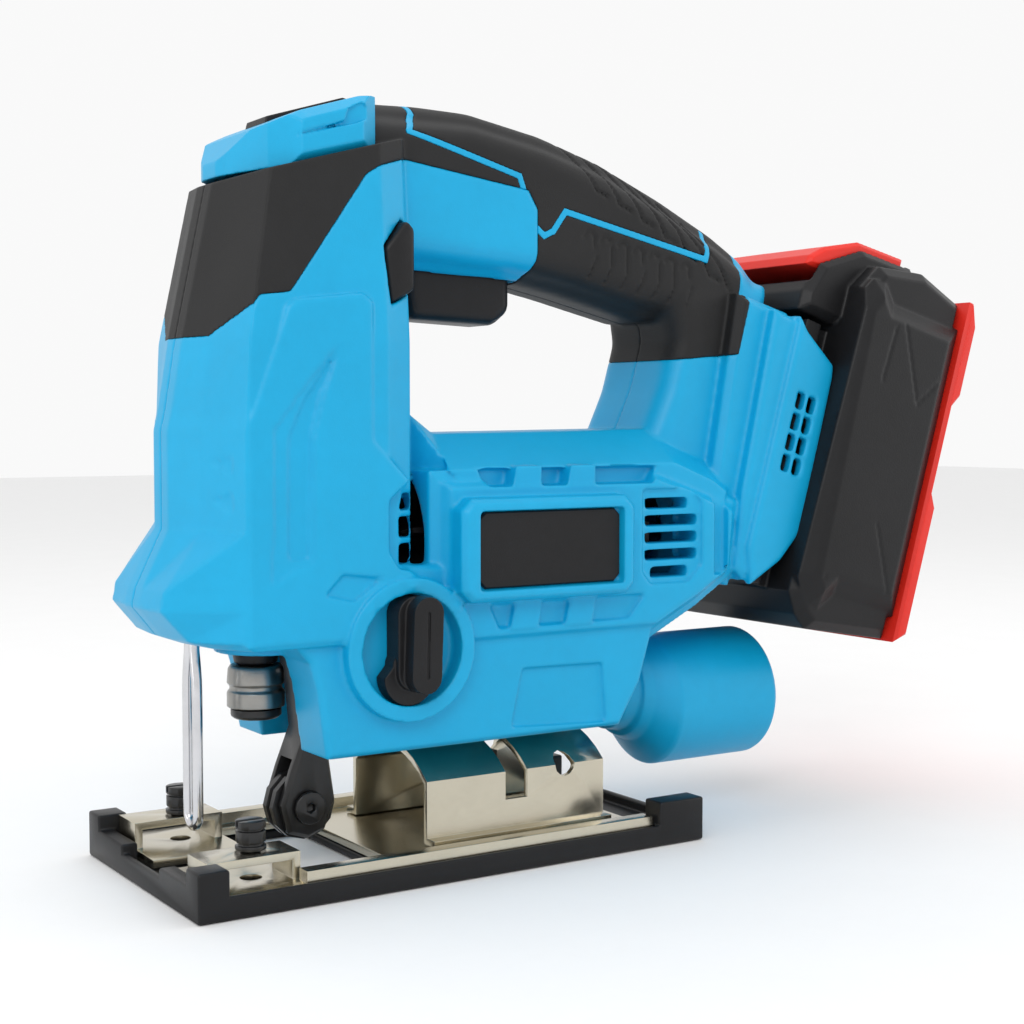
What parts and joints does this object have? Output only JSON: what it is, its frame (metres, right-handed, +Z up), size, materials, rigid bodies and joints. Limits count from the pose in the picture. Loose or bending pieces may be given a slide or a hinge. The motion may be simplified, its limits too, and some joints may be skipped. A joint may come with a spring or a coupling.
{
  "type": "cordless jigsaw",
  "caption": "Cordless jigsaw with a D-handle, pendulum selector, tool-less blade clamp, bevelling steel base in a plastic shoe, rear dust port and slide-on battery.",
  "frame": {"origin": "centre of the sole, on the face that rests on the work", "axes": "+Z up from the sole, -X towards the blade end, +X towards the battery, -Y the tool's left side"},
  "size_m": [0.261, 0.0785, 0.201],
  "materials": {
    "blue_shell": "satin moulded blue plastic",
    "black_rubber": "matt soft-touch overmould",
    "black_plastic": "fine-textured black plastic",
    "red_plastic": "satin moulded red plastic",
    "bright_steel": "turned and ground steel",
    "plated_steel": "nickel plated pressed sheet steel",
    "black_steel": "black oxide steel",
    "alloy": "die-cast",
    "bronze": "sintered bronze",
    "copper": "copper bars",
    "white_plastic": "plain moulded",
    "board": "circuit board"
  },
  "bodies": {
    "base": {"overshoe": "black_plastic", "base_plate": "plated_steel", "saddle": "plated_steel"},
    "housing": {"left_housing": "blue_shell", "right_housing": "blue_shell", "left_grip": "black_rubber", "right_grip": "black_rubber", "top_cap": "blue_shell", "cap_inlay": "black_plastic", "label_left": "black_plastic", "label_right": "black_plastic", "switch_body": "black_plastic", "speed_controller": "board", "terminal_block": "white_plastic", "motor_can": "bright_steel", "front_bearing": "bright_steel", "rear_bearing": "bright_steel", "brush_left": "black_steel", "brush_right": "black_steel", "gear_case": "alloy", "gear_axle": "bright_steel", "upper_bush": "bronze", "lower_bush": "bronze", "arm_pin": "bright_steel", "blade_guard": "bright_steel", "dust_port": "blue_shell", "clamp_bolt": "black_steel", "housing_screw_1": "black_steel", "housing_screw_2": "black_steel", "housing_screw_3": "black_steel", "housing_screw_4": "black_steel", "housing_screw_5": "black_steel", "housing_screw_6": "black_steel"},
    "plunger": {"plunger_rod": "bright_steel", "yoke": "bright_steel", "chuck_neck": "black_steel", "chuck_nose": "black_steel"},
    "collar": {"chuck_collar": "bright_steel"},
    "arm": {"guide_arm": "black_steel", "roller_pin": "black_steel"},
    "roller": {"guide_roller": "black_steel"},
    "selector": {"orbital_knob": "black_plastic", "cam_shaft": "bright_steel"},
    "trigger": {"trigger": "black_plastic"},
    "lock": {"lock_button": "black_plastic"},
    "rotor": {"motor_shaft": "bright_steel", "armature": "bright_steel", "commutator": "copper", "fan": "black_plastic", "pinion": "bright_steel"},
    "gear": {"drive_gear": "bright_steel", "crank_pin": "bright_steel", "counterweight": "bright_steel"},
    "battery": {"battery_case": "black_plastic", "battery_rear_plate": "red_plastic", "battery_board": "board", "cell_pack": "white_plastic"},
    "latch": {"battery_latch": "red_plastic"},
    "left_screw": {"fence_screw_left": "black_steel"},
    "right_screw": {"fence_screw_right": "black_steel"}
  },
  "joints": [
    {"name": "bevel_tilt", "type": "hinge", "parent": "base", "child": "housing", "pos_m": [0, 0, 0], "axis": [1, 0, 0], "range_deg": [-45, 45]},
    {"name": "plunger_stroke", "type": "slide", "parent": "housing", "child": "plunger", "axis": [0, 0, 1], "range_m": [-0.014, 0.004]},
    {"name": "collar_twist", "type": "hinge", "parent": "plunger", "child": "collar", "pos_m": [-0.043, 0, 0.048], "axis": [0, 0, 1], "range_deg": [0, 45], "stiffness_Nm_per_rad": 0.05, "springref_deg": -11.46},
    {"name": "arm_swing", "type": "hinge", "parent": "housing", "child": "arm", "pos_m": [-0.0295, 0, 0.055], "axis": [0, 1, 0], "range_deg": [-1.5, 2.5]},
    {"name": "roller_spin", "type": "hinge", "parent": "arm", "child": "roller", "pos_m": [-0.031, 0, 0.016], "axis": [0, 1, 0], "continuous": true},
    {"name": "orbit_select", "type": "hinge", "parent": "housing", "child": "selector", "pos_m": [-0.014, 0, 0.059], "axis": [0, 1, 0], "range_deg": [-45, 45]},
    {"name": "trigger_pull", "type": "slide", "parent": "housing", "child": "trigger", "axis": [0, 0, 1], "range_m": [0, 0.006], "stiffness_N_per_m": 600, "springref_m": -0.003},
    {"name": "lock_push", "type": "slide", "parent": "housing", "child": "lock", "axis": [0, 1, 0], "range_m": [-0.003, 0.003]},
    {"name": "rotor_spin", "type": "hinge", "parent": "housing", "child": "rotor", "pos_m": [0, 0, 0.085], "axis": [1, 0, 0], "continuous": true},
    {"name": "gear_spin", "type": "hinge", "parent": "housing", "child": "gear", "pos_m": [0, 0, 0.1123], "axis": [1, 0, 0], "continuous": true},
    {"name": "battery_slide", "type": "slide", "parent": "housing", "child": "battery", "axis": [0.2924, 0, 0.9563], "range_m": [0, 0.085]},
    {"name": "latch_press", "type": "slide", "parent": "battery", "child": "latch", "axis": [-0.2924, 0, -0.9563], "range_m": [0, 0.004], "stiffness_N_per_m": 500, "springref_m": -0.003},
    {"name": "left_screw_turn", "type": "hinge", "parent": "base", "child": "left_screw", "pos_m": [-0.055, -0.023, 0], "axis": [0, 0, 1], "continuous": true},
    {"name": "right_screw_turn", "type": "hinge", "parent": "base", "child": "right_screw", "pos_m": [-0.055, 0.023, 0], "axis": [0, 0, 1], "continuous": true}
  ],
  "couplings": [
    {"joint": "gear_spin", "follows": "rotor_spin", "ratio": -0.2}
  ]
}
